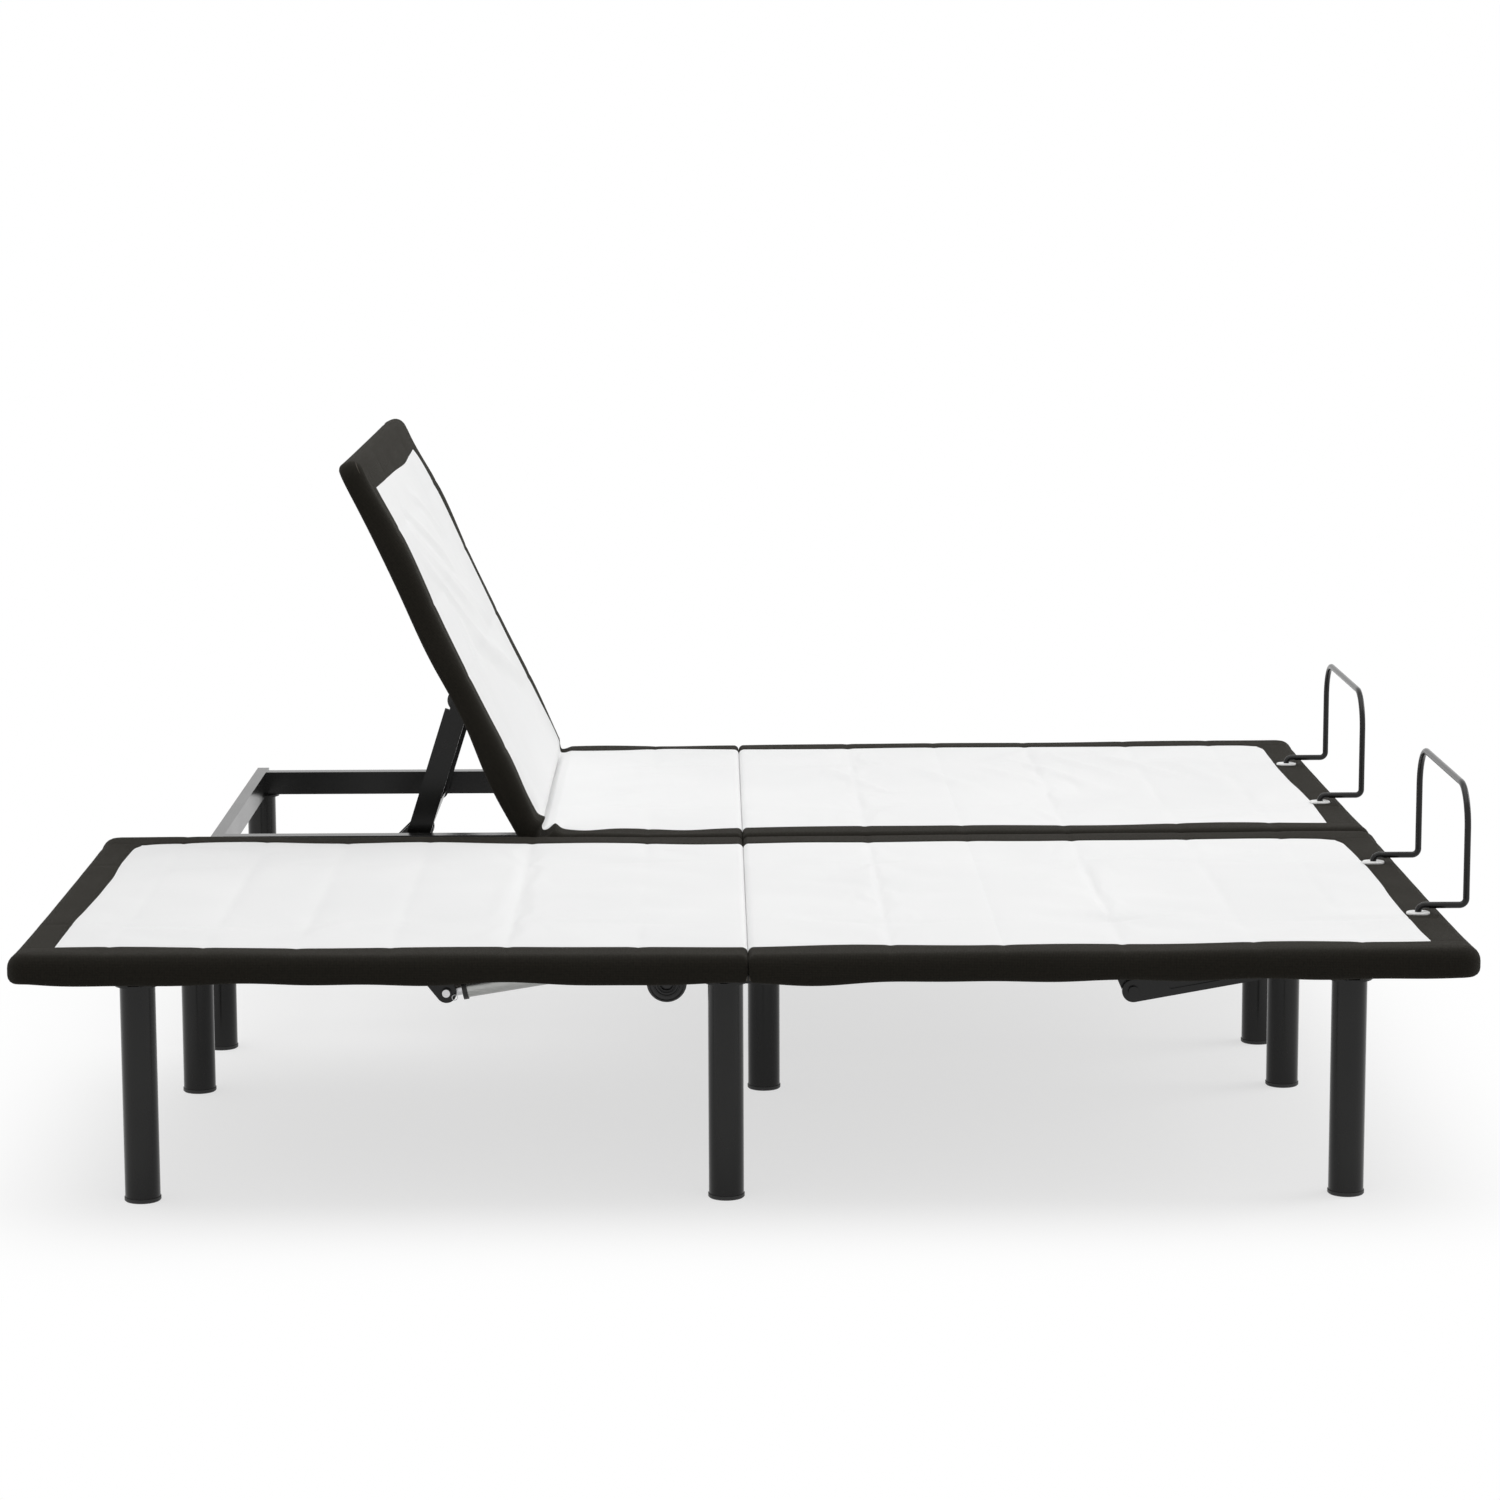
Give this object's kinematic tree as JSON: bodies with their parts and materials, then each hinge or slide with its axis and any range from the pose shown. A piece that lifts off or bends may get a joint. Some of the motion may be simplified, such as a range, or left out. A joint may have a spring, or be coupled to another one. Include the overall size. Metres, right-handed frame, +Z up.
{
  "type": "adjustable bed base",
  "caption": "Adjustable bed base pair on round legs, with padded folding decks, powered head and foot lifts and mattress retainers, shown with one head raised.",
  "frame": {"origin": "on the floor, under the middle of the whole base with its retainers", "axes": "+X from the head end to the foot end, +Y across the bed, +Z up"},
  "size_m": [2.0618, 1.9294, 0.9841],
  "materials": {
    "black_steel": "semi-gloss",
    "bright_steel": "satin",
    "bright_aluminium": "satin",
    "black_plastic": "matte",
    "roller_plastic": "matte",
    "white_plastic": "matte",
    "deck_wood": "dark-stained plywood",
    "cloth": "white cloth, dark border"
  },
  "bodies": {
    "root": {"legs": "black_steel", "leg_flanges": "black_steel", "side_rails": "black_steel", "cross_rails": "black_steel", "fold_plates": "black_steel", "frame_brackets": "black_steel", "leg_glides": "black_plastic", "frame_pins": "black_steel", "seat_decks": "deck_wood", "control_boxes": "black_plastic", "left_seat_cover": "cloth", "right_seat_cover": "cloth"},
    "left_head": {"left_head_deck": "deck_wood", "left_head_cover": "cloth", "left_head_frame": "black_steel"},
    "left_head_lift": {"left_head_lift": "black_steel"},
    "left_head_rollers": {"left_head_rollers": "roller_plastic"},
    "left_head_actuator": {"left_head_gearbox": "black_plastic", "left_head_motor": "black_plastic", "left_head_tube": "bright_aluminium"},
    "left_head_rod": {"left_head_rod": "bright_steel"},
    "left_thigh": {"left_thigh_deck": "deck_wood", "left_thigh_cover": "cloth", "left_thigh_frame": "black_steel"},
    "left_leg": {"left_leg_deck": "deck_wood", "left_leg_cover": "cloth", "left_leg_frame": "black_steel", "left_retainer_bar": "black_steel", "left_retainer_grommets": "white_plastic"},
    "left_leg_links": {"left_leg_links": "black_steel"},
    "left_foot_lift": {"left_foot_lift": "black_steel"},
    "left_foot_rollers": {"left_foot_rollers": "roller_plastic"},
    "left_foot_actuator": {"left_foot_gearbox": "black_plastic", "left_foot_motor": "black_plastic", "left_foot_tube": "bright_aluminium"},
    "left_foot_rod": {"left_foot_rod": "bright_steel"},
    "right_head": {"right_head_deck": "deck_wood", "right_head_cover": "cloth", "right_head_frame": "black_steel"},
    "right_head_lift": {"right_head_lift": "black_steel"},
    "right_head_rollers": {"right_head_rollers": "roller_plastic"},
    "right_head_actuator": {"right_head_gearbox": "black_plastic", "right_head_motor": "black_plastic", "right_head_tube": "bright_aluminium"},
    "right_head_rod": {"right_head_rod": "bright_steel"},
    "right_thigh": {"right_thigh_deck": "deck_wood", "right_thigh_cover": "cloth", "right_thigh_frame": "black_steel"},
    "right_leg": {"right_leg_deck": "deck_wood", "right_leg_cover": "cloth", "right_leg_frame": "black_steel", "right_retainer_bar": "black_steel", "right_retainer_grommets": "white_plastic"},
    "right_leg_links": {"right_leg_links": "black_steel"},
    "right_foot_lift": {"right_foot_lift": "black_steel"},
    "right_foot_rollers": {"right_foot_rollers": "roller_plastic"},
    "right_foot_actuator": {"right_foot_gearbox": "black_plastic", "right_foot_motor": "black_plastic", "right_foot_tube": "bright_aluminium"},
    "right_foot_rod": {"right_foot_rod": "bright_steel"}
  },
  "joints": [
    {"name": "left_head_tilt", "type": "hinge", "parent": "root", "child": "left_head", "pos_m": [-0.34487, 0.4825, 0.356], "axis": [0, 1, 0], "range_deg": [-65, 0]},
    {"name": "left_head_lift_turn", "type": "hinge", "parent": "root", "child": "left_head_lift", "pos_m": [-0.54988, 0.4825, 0.33], "axis": [0, 1, 0], "range_deg": [-108.16, 0.5]},
    {"name": "left_head_roller_spin", "type": "hinge", "parent": "left_head_lift", "child": "left_head_rollers", "pos_m": [-0.47341, 0.4825, 0.57012], "axis": [0, 1, 0], "continuous": true},
    {"name": "left_head_actuator_swing", "type": "hinge", "parent": "root", "child": "left_head_actuator", "pos_m": [-0.06838, 0.3625, 0.317], "axis": [0, 1, 0], "range_deg": [-3.56, 0.5]},
    {"name": "left_head_rod_slide", "type": "slide", "parent": "left_head_actuator", "child": "left_head_rod", "axis": [-0.9944, 0, -0.1055], "range_m": [-0.20285, 0.001]},
    {"name": "left_thigh_tilt", "type": "hinge", "parent": "root", "child": "left_thigh", "pos_m": [0.18812, 0.4825, 0.356], "axis": [0, -1, 0], "range_deg": [0, 40]},
    {"name": "left_knee_bend", "type": "hinge", "parent": "left_thigh", "child": "left_leg", "pos_m": [0.51013, 0.4825, 0.356], "axis": [0, -1, 0], "range_deg": [-56.1, 0.5]},
    {"name": "left_link_swing", "type": "hinge", "parent": "root", "child": "left_leg_links", "pos_m": [0.53212, 0.4825, 0.3], "axis": [0, -1, 0], "range_deg": [-0.5, 47.27]},
    {"name": "left_foot_lift_turn", "type": "hinge", "parent": "root", "child": "left_foot_lift", "pos_m": [0.32512, 0.4825, 0.33], "axis": [0, -1, 0], "range_deg": [-0.5, 79.6]},
    {"name": "left_foot_roller_spin", "type": "hinge", "parent": "left_foot_lift", "child": "left_foot_rollers", "pos_m": [0.45513, 0.4825, 0.33], "axis": [0, 1, 0], "continuous": true},
    {"name": "left_foot_actuator_swing", "type": "hinge", "parent": "root", "child": "left_foot_actuator", "pos_m": [0.02063, 0.5925, 0.262], "axis": [0, -1, 0], "range_deg": [-1.25, 0.5]},
    {"name": "left_foot_rod_slide", "type": "slide", "parent": "left_foot_actuator", "child": "left_foot_rod", "axis": [0.998, 0, 0.0634], "range_m": [-0.001, 0.08495]},
    {"name": "right_head_tilt", "type": "hinge", "parent": "root", "child": "right_head", "pos_m": [-0.34487, -0.4825, 0.356], "axis": [0, 1, 0], "range_deg": [0, 65]},
    {"name": "right_head_lift_turn", "type": "hinge", "parent": "root", "child": "right_head_lift", "pos_m": [-0.54988, -0.4825, 0.33], "axis": [0, 1, 0], "range_deg": [-0.5, 108.16]},
    {"name": "right_head_roller_spin", "type": "hinge", "parent": "right_head_lift", "child": "right_head_rollers", "pos_m": [-0.80188, -0.4825, 0.33], "axis": [0, 1, 0], "continuous": true},
    {"name": "right_head_actuator_swing", "type": "hinge", "parent": "root", "child": "right_head_actuator", "pos_m": [-0.06838, -0.6025, 0.317], "axis": [0, 1, 0], "range_deg": [-0.5, 3.56]},
    {"name": "right_head_rod_slide", "type": "slide", "parent": "right_head_actuator", "child": "right_head_rod", "axis": [-0.9874, 0, -0.1584], "range_m": [-0.001, 0.20285]},
    {"name": "right_thigh_tilt", "type": "hinge", "parent": "root", "child": "right_thigh", "pos_m": [0.18812, -0.4825, 0.356], "axis": [0, -1, 0], "range_deg": [0, 40]},
    {"name": "right_knee_bend", "type": "hinge", "parent": "right_thigh", "child": "right_leg", "pos_m": [0.51013, -0.4825, 0.356], "axis": [0, -1, 0], "range_deg": [-56.1, 0.5]},
    {"name": "right_link_swing", "type": "hinge", "parent": "root", "child": "right_leg_links", "pos_m": [0.53212, -0.4825, 0.3], "axis": [0, -1, 0], "range_deg": [-0.5, 47.27]},
    {"name": "right_foot_lift_turn", "type": "hinge", "parent": "root", "child": "right_foot_lift", "pos_m": [0.32512, -0.4825, 0.33], "axis": [0, -1, 0], "range_deg": [-0.5, 79.6]},
    {"name": "right_foot_roller_spin", "type": "hinge", "parent": "right_foot_lift", "child": "right_foot_rollers", "pos_m": [0.45513, -0.4825, 0.33], "axis": [0, 1, 0], "continuous": true},
    {"name": "right_foot_actuator_swing", "type": "hinge", "parent": "root", "child": "right_foot_actuator", "pos_m": [0.02063, -0.3725, 0.262], "axis": [0, -1, 0], "range_deg": [-1.25, 0.5]},
    {"name": "right_foot_rod_slide", "type": "slide", "parent": "right_foot_actuator", "child": "right_foot_rod", "axis": [0.998, 0, 0.0634], "range_m": [-0.001, 0.08495]}
  ],
  "couplings": [
    {"joint": "left_head_lift_turn", "follows": "left_head_tilt", "ratio": 1.6564},
    {"joint": "left_head_actuator_swing", "follows": "left_head_tilt", "ratio": 0.04708},
    {"joint": "left_head_rod_slide", "follows": "left_head_tilt", "m_per_rad": 0.17793},
    {"joint": "left_knee_bend", "follows": "left_thigh_tilt", "ratio": -1.3901},
    {"joint": "left_link_swing", "follows": "left_thigh_tilt", "ratio": 1.1692},
    {"joint": "left_foot_lift_turn", "follows": "left_thigh_tilt", "ratio": 1.9774},
    {"joint": "left_foot_actuator_swing", "follows": "left_thigh_tilt", "ratio": -0.018666},
    {"joint": "left_foot_rod_slide", "follows": "left_thigh_tilt", "m_per_rad": 0.12026},
    {"joint": "right_head_lift_turn", "follows": "right_head_tilt", "ratio": 1.6564},
    {"joint": "right_head_actuator_swing", "follows": "right_head_tilt", "ratio": 0.04708},
    {"joint": "right_head_rod_slide", "follows": "right_head_tilt", "m_per_rad": 0.17793},
    {"joint": "right_knee_bend", "follows": "right_thigh_tilt", "ratio": -1.3901},
    {"joint": "right_link_swing", "follows": "right_thigh_tilt", "ratio": 1.1692},
    {"joint": "right_foot_lift_turn", "follows": "right_thigh_tilt", "ratio": 1.9774},
    {"joint": "right_foot_actuator_swing", "follows": "right_thigh_tilt", "ratio": -0.018666},
    {"joint": "right_foot_rod_slide", "follows": "right_thigh_tilt", "m_per_rad": 0.12026}
  ]
}
